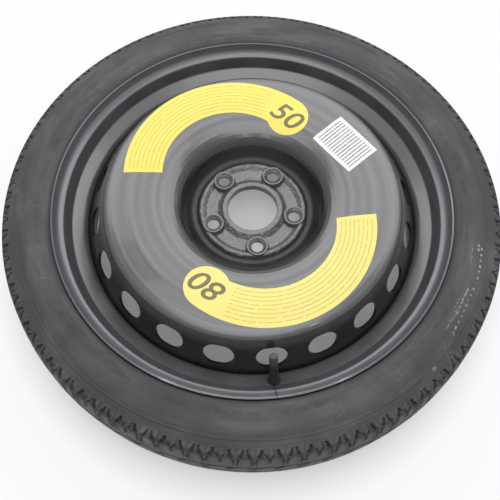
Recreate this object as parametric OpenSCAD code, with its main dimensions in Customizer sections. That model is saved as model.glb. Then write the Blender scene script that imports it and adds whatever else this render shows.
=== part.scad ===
/* [Disc] */
// Radius of the hole for the hub's spigot
bore_r = 31.7; // [25:0.1:40]
// Radius of the circle that the wheel bolts lie on
bolt_circle_r = 54; // [50:0.5:60]
// Number of wheel bolts
bolt_count = 5; // [4:1:6]
// Radius of a bolt hole
bolt_hole_r = 7.4; // [6:0.1:8]
// Outer radius of the tapered bolt seat
bolt_seat_r = 12; // [9:0.1:12.5]
// Radius of the raised boss round a bolt hole
boss_r = 14; // [12.5:0.5:15]
// Height of the bosses above the mounting face
boss_h = 9.6; // [8:0.1:11]
// Thickness of the disc's sheet
disc_t = 3.5; // [2.5:0.1:4.5]
// Height that the hub plate's collar and edge ridge count from
plate_h = 6.4; // [5:0.1:7.5]
// Outer radius of the hub plate's edge ridge
plate_r = 66; // [62:0.5:66.5]
// Radius where the bowl starts to rise
bowl_r = 76.5; // [76.5:0.5:84]
// Height of the crown's front face above the mounting face
crown_h = 41; // [34:0.5:46]
// Radius of the bowl's rounded mouth
mouth_r = 108; // [100:1:116]
// Radius of the crown's outer fold
crown_r = 186; // [178:0.5:190]
// Number of vent holes in the skirt
vent_count = 20; // [10:1:24]
// Width of a vent hole round the skirt
vent_w = 37; // [24:0.5:42]
// Length of a vent hole down the skirt
vent_l = 29; // [20:0.5:32]
// Height of the vent holes' centres
vent_z = 12.5; // [8:0.5:18]
// Turn of the bolts, the vents and the valve from the X axis
phase = -82; // [-90:1:90]

/* [Rim] */
// Radius of the bead seat's inner end
seat_r = 231.1; // [226:0.1:236]
// Radius where the seat meets the flange
heel_r = 238.2; // [234:0.1:240]
// Width of the rim between its flanges
rim_w = 101.6; // [88.9:0.1:114.3]
// Distance from the rim's middle to the mounting face
offset_z = 31; // [15:0.5:45]
// Thickness of the rim's sheet
rim_t = 2.6; // [2:0.1:3.2]
// Outer radius of a flange's lip
flange_r = 249.3; // [246:0.1:252]
// Outward reach of a flange's lip
lip_w = 11.8; // [10.5:0.1:14]
// Radius of the well
well_r = 213.1; // [208:0.1:216]
// Length of the disc's flange inside the well
flange_l = 33; // [26:0.5:36]

/* [Tyre] */
// Radius over the tread
tyre_r = 316; // [310:0.5:322]
// Width of the section at its widest
section_w = 128; // [122:0.5:134]
// Half width of the tread
tread_hw = 48; // [44:0.5:52]
// Drop of the tread from its middle to its edge
tread_drop = 4.5; // [2:0.1:6]
// Thickness of the sidewall
wall_t = 7; // [5:0.5:9]
// Thickness under the tread
tread_t = 11; // [9:0.5:14]
// Depth of the tread grooves
groove_d = 3; // [2:0.1:4]
// Width of the round tread grooves
groove_w = 6; // [4:0.5:8]
// Number of shoulder notches round one side
notch_count = 36; // [20:1:60]
// Width of a shoulder notch
notch_w = 6; // [3:0.5:8]
// Depth of a shoulder notch
notch_d = 2.6; // [1:0.1:3.5]
// Gap between the bead and the rim
bead_gap = 0.15; // [0.05:0.05:0.3]

/* [Labels] */
// Thickness of a label
label_t = 0.25; // [0.1:0.05:0.5]
// Outer radius of a curved speed label
band_r = 136.5; // [130:0.5:140]
// Width of a curved speed label
band_w = 48; // [40:0.5:52]
// Angle that a curved speed label covers
band_angle = 132; // [100:1:150]
// Radius of a speed label's round head
head_r = 27; // [24:0.5:30]
// Radius of the circle that the head's centre lies on
head_at_r = 109.4; // [104:0.1:114]
// Length of the square-cut parts label
tag_l = 67; // [50:1:72]
// Width of the square-cut parts label
tag_w = 49.5; // [36:0.5:54]
// Distance of the parts label's middle from the axis
tag_at_r = 141; // [134:1:144]
// Angle of the parts label's middle from the X axis
tag_at = 34.7; // [0:0.1:90]
// Turn of the parts label's short side from the X axis
tag_turn = 42; // [0:0.5:90]

// X of the centre of the upper speed label's band
upper_x = -25.7; // [-40:0.1:-10]
// Y of the centre of the upper speed label's band
upper_y = 35.6; // [20:0.1:50]
// Angle of the upper speed label's square end
upper_cut = 183.5; // [170:0.5:200]
// X of the centre of the lower speed label's band
lower_x = 14.7; // [0:0.1:30]
// Y of the centre of the lower speed label's band
lower_y = -34; // [-50:0.1:-20]
// Angle of the lower speed label's square end
lower_cut = 5.5; // [-10:0.5:20]

/* [Valve] */
// Lean of the valve from the wheel's axis
valve_lean = 27.5; // [20:0.5:40]
// Radius of the rim hole for the valve
valve_hole_r = 5.65; // [5:0.05:6]
// Reach of the valve above the rim
valve_h = 41; // [34:0.5:44]
// Radius of the valve's thread
thread_r = 3.85; // [3.5:0.05:4]
// Radius of the bore that holds the valve core
core_r = 1.7; // [1.5:0.05:2]
// Radius of the valve pin
pin_r = 0.45; // [0.35:0.05:0.6]
// Travel of the valve pin
pin_travel = 1.2; // [0.8:0.1:1.6]
// Radial gap of the valve's running fits
fit_gap = 0.08; // [0.04:0.01:0.1]
// Thickness of the cap's wall
cap_t = 1.0; // [0.7:0.1:1.3]

/* [Hidden] */
$fn = 96;
// Heights of the rim's middle and of the inner faces of its flanges
mid_z = -offset_z;
front_z = mid_z + rim_w / 2;
lip_radius = 13;
seat_len = 17.9;
well_in_r = well_r - rim_t;
// The front flank of the well is square to the valve
seat_z = front_z - seat_len;
well_z1 = seat_z - (seat_r - well_r) * tan(valve_lean);
// Where the skirt of the disc ends, inside the well
skirt_r = well_in_r;
skirt_z = well_z1 - 3;
flange_end = skirt_z - flange_l;
skirt_slope = (skirt_r - crown_r) / (crown_h - 5.5 - skirt_z);
vent_r = crown_r + (crown_h - 5.5 - vent_z) * skirt_slope;
vent_tilt = atan(skirt_slope);

// Plain path helpers: a corner is [x, y, fillet radius]
function unit(v) = v / norm(v);
function turn(a, b, c) = (b[0] - a[0]) * (c[1] - b[1]) - (b[1] - a[1]) * (c[0] - b[0]);
function left(v) = [-v[1], v[0]];
function flat(p) = [p[0], p[1]];
function rounded(p, step = 9) = [for (i = [0:len(p) - 1])
    let (a = flat(p[max(i - 1, 0)]), b = flat(p[i]), c = flat(p[min(i + 1, len(p) - 1)]), r = p[i][2])
    if (i == 0 || i == len(p) - 1 || r < 0.05) b
    else let (u = unit(a - b), v = unit(c - b), half = acos(u * v) / 2, reach = r / tan(half),
            centre = b + unit(u + v) * r / sin(half), start = b + u * reach,
            sweep = (180 - 2 * half) * (turn(a, b, c) > 0 ? 1 : -1), n = max(1, round(abs(sweep) / step)))
        each [for (k = [0:n]) let (t = k * sweep / n, d = start - centre)
            centre + [d[0] * cos(t) - d[1] * sin(t), d[0] * sin(t) + d[1] * cos(t)]]];
function shift(p, t) = [for (i = [0:len(p) - 1])
    let (b = flat(p[i]), r = p[i][2],
        u = i == 0 ? unit(flat(p[1]) - b) : unit(b - flat(p[i - 1])),
        v = i == len(p) - 1 ? u : unit(flat(p[i + 1]) - b),
        m = unit(left(u) + left(v)), q = b + m * t / (m * left(u)),
        bend = i == 0 || i == len(p) - 1 ? 0 : turn(b - u, b, b + v))
    [q[0], q[1], r < 0.05 ? 0 : max(0.1, r - (bend > 0 ? t : -t))]];
function backward(p) = [for (i = [len(p) - 1:-1:0]) p[i]];
function sheet(p, t) = concat(rounded(p), backward(rounded(shift(p, t))));

// The rim's tyre side, from the front lip to the rear lip
front_half = [
    [flange_r, front_z + lip_w, 0],
    [flange_r - 4, front_z - 1.2, lip_radius],
    [heel_r, front_z - 3.9, 1.2],
    [seat_r, seat_z, 7.6],
    [well_r, well_z1, 7.4]];
function mirrored(p) = [for (q = p) [q[0], 2 * mid_z - q[1], q[2]]];
rim_path = concat(front_half, backward(mirrored(front_half)));

// The disc's front side, from the bore out to the end of its flange
disc_path = [
    [bore_r, 0, 0],
    [bore_r, plate_h + 2.4, 1.2],
    [bore_r + 6, plate_h + 2.4, 2],
    [bore_r + 12.5, disc_t, 3],
    [plate_r - 8, disc_t, 3],
    [plate_r - 2.5, plate_h + 1.4, 2.5],
    [plate_r + 0.8, plate_h + 0.6, 2.5],
    [plate_r + 4.5, disc_t, 3],
    [bowl_r, disc_t, 8],
    [mouth_r - 14, crown_h - 8, 32],
    [mouth_r + 14, crown_h - 2, 30],
    [mouth_r + 20, crown_h - 1.6, 20],
    [mouth_r + 42, crown_h, 60],
    [crown_r - 14, crown_h - 0.6, 30],
    [crown_r - 3.5, crown_h - 1.4, 9],
    [skirt_r, skirt_z, 14],
    [skirt_r, flange_end, 0]];

module about_bolts() {
    for (i = [0:bolt_count - 1])
        rotate([0, 0, phase + i * 360 / bolt_count])
            translate([bolt_circle_r, 0, 0])
                children();
}

module vent_hole() {
    r = vent_l / 2;
    side = (vent_w - vent_l) / 2;
    rotate([0, 90, 0])
        linear_extrude(height = 40, center = true) {
            translate([0, -side])
                circle(r);
            translate([0, side])
                circle(r);
            translate([-r, -side])
                square([2 * r, 2 * side]);
        }
}

module disc() {
    color("#26282b")
        difference() {
            union() {
                rotate_extrude($fn = 180)
                    polygon(sheet(disc_path, -disc_t));
                about_bolts() {
                    cylinder(r = boss_r - 1, h = boss_h);
                    translate([0, 0, disc_t - 0.5])
                        cylinder(r1 = boss_r + 1.4, r2 = boss_r - 1, h = boss_h - disc_t - 0.5);
                }
            }
            about_bolts() {
                translate([0, 0, -1])
                    cylinder(r = bolt_hole_r, h = boss_h + 3);
                translate([0, 0, boss_h - 3])
                    cylinder(r1 = bolt_hole_r, r2 = bolt_seat_r, h = 3.6);
                translate([0, 0, -1])
                    cylinder(r = bolt_seat_r, h = 4);
            }
            for (i = [0:vent_count - 1])
                rotate([0, 0, phase + i * 360 / vent_count])
                    translate([vent_r, 0, vent_z])
                        rotate([0, -vent_tilt, 0])
                            vent_hole();
        }
}

// Weld beads that close the edge of the disc's flange to the rim's well
module disc_weld() {
    beads = 10;
    span = 22;
    leg = 2.6;
    for (i = [0:beads - 1])
        rotate([0, 0, phase + (i + 0.5) * 360 / beads - span / 2])
            translate([0, 0, flange_end])
                color("#303236")
                    rotate_extrude(angle = span, $fn = 180)
                        polygon(rounded([
                            [skirt_r - leg, -0.02, 0],
                            [skirt_r - 0.04, -0.02, 0],
                            [skirt_r - 0.04, -leg, 0],
                            [skirt_r - leg, -leg, leg * 0.7],
                            [skirt_r - leg, -0.02, 0]], 30));
}

module valve_place() {
    rotate([0, 0, phase])
        translate([0.55 * seat_r + 0.45 * well_r, 0, 0.55 * seat_z + 0.45 * well_z1])
            rotate([0, -valve_lean, 0])
                translate([0, 0, rim_t])
                    children();
}

module rim() {
    color("#2b2d30")
        difference() {
            rotate_extrude($fn = 180)
                polygon(sheet(rim_path, -rim_t));
            valve_place()
                translate([0, 0, -rim_t - 6])
                    cylinder(r = valve_hole_r, h = rim_t + 12);
        }
}

tread_edge_r = tyre_r - tread_drop;
function tread_r(x) = tyre_r - tread_drop * pow(x / tread_hw, 2);
function groove(x) = [
    [tread_r(x), x + groove_w / 2, 0],
    [tread_r(x) - groove_d, x + groove_w / 2 - 0.8, 0],
    [tread_r(x) - groove_d, x - groove_w / 2 + 0.8, 0],
    [tread_r(x), x - groove_w / 2, 0]];
// The tyre's bead lies along the seat and the flange, a gap away
seat_corner = flat(front_half[3]);
toe = seat_corner + 3 * unit(flat(front_half[2]) - seat_corner);
bead = shift([
    [toe[0], toe[1] - mid_z, 0],
    [heel_r, front_half[2][1] - mid_z, 1.2],
    [front_half[1][0], front_half[1][1] - mid_z, lip_radius],
    [flange_r, front_half[0][1] - mid_z, 0]], -bead_gap);
// Half of the tyre's section: distance from the middle and radius
outer_half = [
    bead[0],
    bead[1],
    bead[2],
    [flange_r + 0.9, section_w / 2 - 3.6, 1.5],
    [flange_r + 5, section_w / 2 - 1.6, 4],
    [flange_r + 14, section_w / 2 - 0.2, 20],
    [flange_r + 29, section_w / 2, 30],
    [flange_r + 49, section_w / 2 - 6, 20],
    [tread_edge_r - 0.5, tread_hw + 3.5, 7],
    [tread_r(tread_hw - 8), tread_hw - 8, 0]];
inner_half = [
    [bead[0][0] + 0.2, bead[0][1] - 4, 1],
    [flange_r - 6, rim_w / 2 - 9, 8],
    [flange_r + 3, section_w / 2 - 2.4 - wall_t, 8],
    [flange_r + 29, section_w / 2 - wall_t, 30],
    [tread_edge_r - tread_t, tread_hw - 10, 22],
    [tyre_r - tread_t, 12, 0]];
function front_side(p) = [for (q = p) [q[0], mid_z + q[1], q[2]]];
function rear_side(p) = [for (q = p) [q[0], mid_z - q[1], q[2]]];
groove_at = 17;
tread_path = concat(
    [for (g = groove(groove_at)) [g[0], mid_z + g[1], 0]],
    [for (g = groove(-groove_at)) [g[0], mid_z + g[1], 0]]);
tyre_path = concat(front_side(outer_half), tread_path, backward(rear_side(outer_half)),
    rear_side(inner_half), backward(front_side(inner_half)), [front_side(outer_half)[0]]);

module shoulder_notch() {
    translate([tread_edge_r - notch_d - 1, -notch_w / 2, -10])
        cube([12, notch_w, 22]);
}

module tyre() {
    color("#4a4a4b")
        difference() {
            rotate_extrude($fn = 180)
                polygon(rounded(tyre_path));
            for (i = [0:notch_count - 1])
                rotate([0, 0, (i + 0.75) * 360 / notch_count])
                    translate([0, 0, mid_z + tread_hw + 3])
                        shoulder_notch();
            for (i = [0:notch_count - 1])
                rotate([0, 0, (i + 0.25) * 360 / notch_count])
                    translate([0, 0, mid_z - tread_hw - 5])
                        shoulder_notch();
        }
}

// A skin that lies on the disc's front face
module label_skin() {
    lift = label_t + 0.03;
    rotate_extrude($fn = 180)
        polygon(sheet(shift([for (i = [8:14]) disc_path[i]], lift), -label_t));
}

module speed_label(at, cut) {
    color("#f2e24c")
        intersection() {
            label_skin();
            translate([at[0], at[1], 0])
                linear_extrude(height = 60) {
                    difference() {
                        circle(band_r, $fn = 180);
                        circle(band_r - band_w, $fn = 180);
                        rotate(cut)
                            translate([-2 * band_r, 0])
                                square([4 * band_r, 2 * band_r]);
                        rotate(cut - band_angle)
                            translate([-2 * band_r, -2 * band_r])
                                square([4 * band_r, 2 * band_r]);
                    }
                    rotate(cut - band_angle)
                        translate([head_at_r, 0])
                            circle(head_r);
                }
        }
}

module speed_label_upper() {
    speed_label([upper_x, upper_y], upper_cut);
}

module speed_label_lower() {
    speed_label([lower_x, lower_y], lower_cut);
}

module parts_label() {
    color("#e9e9e6")
        intersection() {
            label_skin();
            translate([tag_at_r * cos(tag_at), tag_at_r * sin(tag_at), 0])
                rotate([0, 0, tag_turn])
                    translate([-tag_w / 2, -tag_l / 2, 0])
                        cube([tag_w, tag_l, 60]);
        }
}

// Valve parts: heights count from the rim's front surface along the valve
insert_r = 2.5;
collar_z = valve_h - 16;
core_top = valve_h - 3;
core_bottom = core_top - 7;
head_z = core_top - 0.6 - pin_travel;

module valve_rubber() {
    color("#1d1d1e")
        valve_place()
            difference() {
                rotate_extrude()
                    polygon(rounded([
                        [0, -rim_t - 8, 0],
                        [4.4, -rim_t - 8, 1],
                        [6.6, -rim_t - 3.5, 1],
                        [7.6, -rim_t - 0.25, 0],
                        [valve_hole_r - 0.1, -rim_t - 0.25, 0],
                        [valve_hole_r - 0.1, 0.3, 0],
                        [7.8, 0.3, 0],
                        [7.5, 2.6, 1],
                        [5.7, 9, 6],
                        [5.0, collar_z + 4, 0.6],
                        [0, collar_z + 4, 0]]));
                translate([0, 0, -rim_t - 9])
                    cylinder(r = insert_r, h = collar_z + 20);
                translate([0, 0, collar_z])
                    cylinder(r = thread_r, h = 10);
            }
}

module valve_stem() {
    color("#b8a25a")
        valve_place()
            difference() {
                union() {
                    translate([0, 0, -rim_t - 8])
                        cylinder(r = insert_r, h = collar_z + rim_t + 9);
                    translate([0, 0, collar_z])
                        cylinder(r = thread_r, h = valve_h - 1.2 - collar_z - 0.6);
                    translate([0, 0, valve_h - 1.8])
                        cylinder(r1 = thread_r, r2 = thread_r - 0.6, h = 0.6);
                }
                translate([0, 0, -rim_t - 9])
                    cylinder(r = 1, h = 50);
                translate([0, 0, core_bottom - 7])
                    cylinder(r = core_r, h = 30);
            }
}

module valve_core_barrel() {
    color("#c9b36a")
        valve_place()
            difference() {
                translate([0, 0, core_bottom])
                    cylinder(r = core_r, h = core_top - core_bottom);
                translate([0, 0, core_bottom - 1])
                    cylinder(r = pin_r + fit_gap, h = 3);
                translate([0, 0, core_bottom + 1])
                    cylinder(r = core_r - 0.4, h = 10);
            }
}

module valve_core_gasket() {
    color("#d8d8d2")
        valve_place()
            translate([0, 0, core_bottom - 1.6])
                difference() {
                    cylinder(r = core_r, h = 1.6);
                    translate([0, 0, -1])
                        cylinder(r = core_r - 0.3, h = 4);
                }
}

seal_r = core_r - 0.45;
module valve_pin() {
    color("#c9b36a")
        valve_place() {
            translate([0, 0, core_bottom - 4])
                cylinder(r = pin_r, h = core_top - core_bottom + 4.4);
            translate([0, 0, core_bottom - 2.2])
                cylinder(r = seal_r, h = 1.4);
            translate([0, 0, head_z])
                cylinder(r = core_r - 0.48, h = 0.7);
        }
}

module valve_pin_seal() {
    color("#1d1d1e")
        valve_place()
            translate([0, 0, core_bottom - 0.8])
                difference() {
                    cylinder(r = seal_r, h = 0.78);
                    translate([0, 0, -1])
                        cylinder(r = pin_r, h = 3);
                }
}

module valve_spring() {
    coils = 5;
    wire_r = 0.12;
    spring_h = head_z - core_bottom - 1 - 2 * wire_r;
    color("#b9bcc0")
        valve_place()
            for (i = [0:coils])
                translate([0, 0, core_bottom + 1 + wire_r + i * spring_h / coils])
                    rotate_extrude()
                        translate([pin_r + 0.35, 0])
                            circle(wire_r, $fn = 16);
}

module valve_cap() {
    grips = 16;
    cap_r = thread_r + fit_gap + cap_t;
    cap_z = collar_z + 4.2;
    color("#6f7072")
        valve_place()
            difference() {
                union() {
                    translate([0, 0, cap_z])
                        cylinder(r = cap_r, h = valve_h - cap_z - 0.6);
                    translate([0, 0, valve_h - 0.6])
                        cylinder(r1 = cap_r, r2 = cap_r - 0.6, h = 0.6);
                }
                translate([0, 0, cap_z - 1])
                    cylinder(r = thread_r + fit_gap, h = valve_h - 1 - cap_z + 1);
                for (i = [0:grips - 1])
                    rotate([0, 0, i * 360 / grips])
                        translate([cap_r + 0.3, 0, cap_z - 1])
                            cylinder(r = 0.55, h = 9, $fn = 16);
            }
}

tyre();
rim();
disc();
disc_weld();
speed_label_upper();
speed_label_lower();
parts_label();
valve_rubber();
valve_stem();
valve_core_barrel();
valve_core_gasket();
valve_pin();
valve_pin_seal();
valve_spring();
valve_cap();
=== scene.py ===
"""Space saver spare wheel: the tyre's moulded form, the printed labels, the finishes, the camera and the studio."""

import logging
import math
from dataclasses import dataclass
from enum import Enum
from functools import cache
from typing import Callable, Iterable, Optional, Sequence, Union

import bmesh
import bpy
from mathutils import Matrix, Vector


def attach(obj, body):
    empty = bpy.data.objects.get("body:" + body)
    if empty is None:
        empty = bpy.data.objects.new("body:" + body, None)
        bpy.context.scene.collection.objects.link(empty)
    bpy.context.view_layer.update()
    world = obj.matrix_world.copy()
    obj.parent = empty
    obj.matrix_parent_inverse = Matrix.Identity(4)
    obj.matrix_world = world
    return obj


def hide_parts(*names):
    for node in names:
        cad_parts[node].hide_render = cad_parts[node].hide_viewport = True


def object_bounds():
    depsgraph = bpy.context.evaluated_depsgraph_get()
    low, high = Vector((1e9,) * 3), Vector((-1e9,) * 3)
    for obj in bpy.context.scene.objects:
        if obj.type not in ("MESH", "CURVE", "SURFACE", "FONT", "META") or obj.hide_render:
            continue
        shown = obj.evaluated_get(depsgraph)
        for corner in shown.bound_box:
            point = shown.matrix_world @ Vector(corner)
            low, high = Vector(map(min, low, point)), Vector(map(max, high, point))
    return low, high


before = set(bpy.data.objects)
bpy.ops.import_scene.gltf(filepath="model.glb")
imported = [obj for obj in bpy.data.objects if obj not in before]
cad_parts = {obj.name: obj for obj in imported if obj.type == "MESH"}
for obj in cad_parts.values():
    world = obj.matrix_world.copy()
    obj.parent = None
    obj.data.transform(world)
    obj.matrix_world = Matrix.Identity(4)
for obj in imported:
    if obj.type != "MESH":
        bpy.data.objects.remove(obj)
CAD_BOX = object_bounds()
LOG = logging.getLogger("spare_wheel")
MM = 0.001
Number = Union["Wire", float, int]
Triple = tuple[float, float, float]
Colour = Triple
Span = tuple[float, float]
Key = Union[int, str]
Values = dict[Key, object]

# Points nearer than this are one point, in millimetres
SAME = 0.02
# The radius at which a pattern round the wheel keeps its true length, in metres
POLAR_RADIUS = 0.25
# How a seed moves a noise pattern
SEED_SHIFT = (1.0, 0.7, -0.4)
# The colour of a crack or a deep shadow in paint
DEEP_BLACK: Colour = (0.004, 0.004, 0.004)


class Body(Enum):
    """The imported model's bodies that the scene's own pieces ride on."""

    WHEEL = "wheel"


class Space(Enum):
    """Where a noise pattern is measured."""

    OBJECT = "object"
    POLAR = "polar"


def scaled(colour: Colour, factor: float) -> Colour:
    """The colour, darker or lighter by a factor."""
    return tuple(factor * channel for channel in colour)


def share(value: float, span: Span) -> float:
    """How far a value lies between a span's two ends, from 0 to 1."""
    return min(1.0, max(0.0, (value - span[0]) / (span[1] - span[0])))


def maths(operation: str, swap: bool = False) -> Callable[..., "Wire"]:
    """Makes a method of Wire that adds a Math node, with the wire as its second operand if swap is true."""

    def method(wire: "Wire", *others: Number) -> "Wire":
        """Adds the Math node."""
        return wire.math(operation, *others, swap=swap)

    return method


# Shader maths


class Wire:
    """An output socket that Python's operators can work on.

    Args:
        graph: The tree that holds it.
        socket: The output socket.
    """

    def __init__(self, graph: "Graph", socket: Optional[bpy.types.NodeSocket]) -> None:
        """Keeps the graph and the socket."""
        self.graph = graph
        self.socket = socket

    def math(self, operation: str, *others: Number, swap: bool = False) -> "Wire":
        """Adds a Math node.

        Args:
            operation: The Math node's operation.
            others: The other operands.
            swap: Whether this wire is the second operand.

        Returns:
            The node's output.
        """
        values = [self, *others]
        if swap:
            values.reverse()
        return self.graph.node("ShaderNodeMath", {"operation": operation}, dict(enumerate(values)))

    __add__, __radd__ = maths("ADD"), maths("ADD", swap=True)
    __sub__, __rsub__ = maths("SUBTRACT"), maths("SUBTRACT", swap=True)
    __mul__, __rmul__ = maths("MULTIPLY"), maths("MULTIPLY", swap=True)
    __pow__, root = maths("POWER"), maths("SQRT")
    sine, fract, floor = maths("SINE"), maths("FRACT"), maths("FLOOR")

    def clamped(self) -> "Wire":
        """self, held between 0 and 1."""
        return self.math("MAXIMUM", 0.0).math("MINIMUM", 1.0)

    def step(self, low: float, high: float) -> "Wire":
        """A straight rise of self from 0 at low to 1 at high."""
        return ((self - low) * (1.0 / (high - low))).clamped()

    def between(self, rise: Span, fall: Span) -> "Wire":
        """1 from the end of a rise to the start of a fall."""
        return self.step(*rise) * (1.0 - self.step(*fall))

    def window(self, low: float, high: float, soft: float) -> "Wire":
        """1 where self lies between low and high, with soft edges."""
        return self.between((low - soft, low + soft), (high - soft, high + soft))

    def near(self, middle: float, half: float, soft: float) -> "Wire":
        """1 where self lies within half of a middle, with soft edges."""
        return self.window(middle - half, middle + half, soft)


class Graph:
    """The node tree of a material or a world, built by expressions.

    Args:
        owner: The material or the world.
    """

    def __init__(self, owner: Union[bpy.types.Material, bpy.types.World]) -> None:
        """Empties the tree."""
        self.owner = owner
        owner.use_nodes = True
        self.tree = owner.node_tree
        self.tree.nodes.clear()

    @classmethod
    def named(cls, name: str) -> "Graph":
        """The empty tree of a new material."""
        return cls(bpy.data.materials.new(name))

    def node(
        self, kind: str, settings: Optional[Values] = None, inputs: Optional[Values] = None, output: Key = 0
    ) -> Wire:
        """Adds one node.

        Args:
            kind: The node's type.
            settings: Its properties, set first.
            inputs: The values or wires of its input sockets.
            output: The output socket to return.

        Returns:
            The chosen output.
        """
        made = self.tree.nodes.new(kind)
        for key, value in (settings or {}).items():
            setattr(made, key, value)
        for key, value in (inputs or {}).items():
            if isinstance(value, Wire):
                self.tree.links.new(value.socket, made.inputs[key])
            elif value is not None:
                made.inputs[key].default_value = value
        return Wire(self, made.outputs[output] if len(made.outputs) else None)

    @cache
    def place(self) -> Wire:
        """The point on the object, in metres."""
        return self.node("ShaderNodeTexCoord", output="Object")

    @cache
    def axis(self, name: str) -> Wire:
        """One of the point's numbers: X, Y, Z, radius or turn (an angle in radians round the wheel)."""
        if name == "radius":
            return (self.axis("X") ** 2.0 + self.axis("Y") ** 2.0).root()
        if name == "turn":
            return self.axis("Y").math("ARCTAN2", self.axis("X"))
        return self.node("ShaderNodeSeparateXYZ", inputs={0: self.place()}, output=name)

    @cache
    def polar(self) -> Wire:
        """The point as radius, arc and height, so that a pattern runs round the wheel."""
        return self.vector(self.axis("radius"), self.axis("turn") * POLAR_RADIUS, self.axis("Z"))

    def vector(self, *parts: Number) -> Wire:
        """Joins three numbers to a vector."""
        return self.node("ShaderNodeCombineXYZ", inputs=dict(enumerate(parts)))

    def turned(self, middle: Span, angle: float) -> tuple[Wire, Wire]:
        """The point's distances from a middle on the wheel's face, along an angle in degrees and to its left."""
        x, y = self.axis("X") - middle[0], self.axis("Y") - middle[1]
        cos, sin = math.cos(math.radians(angle)), math.sin(math.radians(angle))
        return x * cos + y * sin, y * cos - x * sin

    def noise(
        self, scale: float, detail: float = 3.0, space: Space = Space.OBJECT,
        stretch: Triple = (1.0, 1.0, 1.0), seed: float = 0.0,
    ) -> Wire:
        """A noise pattern between 0 and 1.

        Args:
            scale: How many cells there are to a metre.
            detail: How much fine detail it has.
            space: Whether it runs with the axes or round the wheel.
            stretch: A factor for each axis.
            seed: A shift of the pattern.

        Returns:
            The pattern.
        """
        vector = self.place() if space is Space.OBJECT else self.polar()
        shift = tuple(seed * way for way in SEED_SHIFT)
        moved = self.node("ShaderNodeMapping", inputs={"Vector": vector, "Location": shift, "Scale": stretch})
        inputs = {"Vector": moved, "Scale": scale, "Detail": detail, "Roughness": 0.55}
        return self.node("ShaderNodeTexNoise", inputs=inputs)

    def row_noise(self, along: Wire, row: Wire, scale: float) -> Wire:
        """A noise along a row that differs from row to row, to break the row into pieces."""
        inputs = {"Vector": self.vector(along, row, 0.0), "Scale": scale, "Detail": 1.0}
        return self.node("ShaderNodeTexNoise", inputs=inputs)

    def cells(self, scale: float) -> Wire:
        """The distance to points scattered at so many a metre, for specks."""
        return self.node("ShaderNodeTexVoronoi", inputs={"Vector": self.place(), "Scale": scale}, output="Distance")

    def blend(self, mask: Number, low: Union[Wire, Colour], high: Union[Wire, Colour]) -> Wire:
        """A colour between two others.

        Args:
            mask: 0 for the low colour, 1 for the high one.
            low: A colour or a wire.
            high: A colour or a wire.

        Returns:
            The mixed colour.
        """
        first, second = (value if isinstance(value, Wire) else (*value, 1.0) for value in (low, high))
        return self.node("ShaderNodeMix", {"data_type": "RGBA"}, {"Factor": mask, 6: first, 7: second}, output=2)

    def bump(self, height: Wire, distance: float, strength: float = 1.0, under: Optional[Wire] = None) -> Wire:
        """A Bump node.

        Args:
            height: The pattern that raises the surface.
            distance: The height of the pattern's 1, in metres.
            strength: How strongly it acts.
            under: A bump that this one lies on.

        Returns:
            The bumped normal.
        """
        inputs = {"Height": height, "Distance": distance, "Strength": strength, "Normal": under}
        return self.node("ShaderNodeBump", inputs=inputs)

    def seen(self) -> Wire:
        """1 for what the camera sees, straight, in a gloss or through a clear piece."""
        rays = ("Is Camera Ray", "Is Glossy Ray", "Is Transmission Ray")
        camera, gloss, clear = (self.node("ShaderNodeLightPath", output=ray) for ray in rays)
        return (camera + gloss + clear).clamped()

    def mix(self, mask: Wire, first: Wire, second: Wire) -> Wire:
        """A shader between two others: the first where the mask is 0, the second where it is 1."""
        return self.node("ShaderNodeMixShader", inputs={0: mask, 1: first, 2: second})

    def principled(self, **sockets: object) -> Wire:
        """Adds a Principled shader; "_" stands for the space in a socket's name."""
        named = {key.replace("_", " "): value for key, value in sockets.items()}
        return self.node("ShaderNodeBsdfPrincipled", inputs=named)

    def surface(self, **sockets: object) -> bpy.types.Material:
        """Closes the tree with a Principled shader and returns the material."""
        return self.close(self.principled(**sockets))

    def close(self, shader: Wire) -> bpy.types.Material:
        """Links a shader to the output and returns the material."""
        self.node("ShaderNodeOutputMaterial", inputs={"Surface": shader})
        return self.owner


# Finishes


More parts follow.
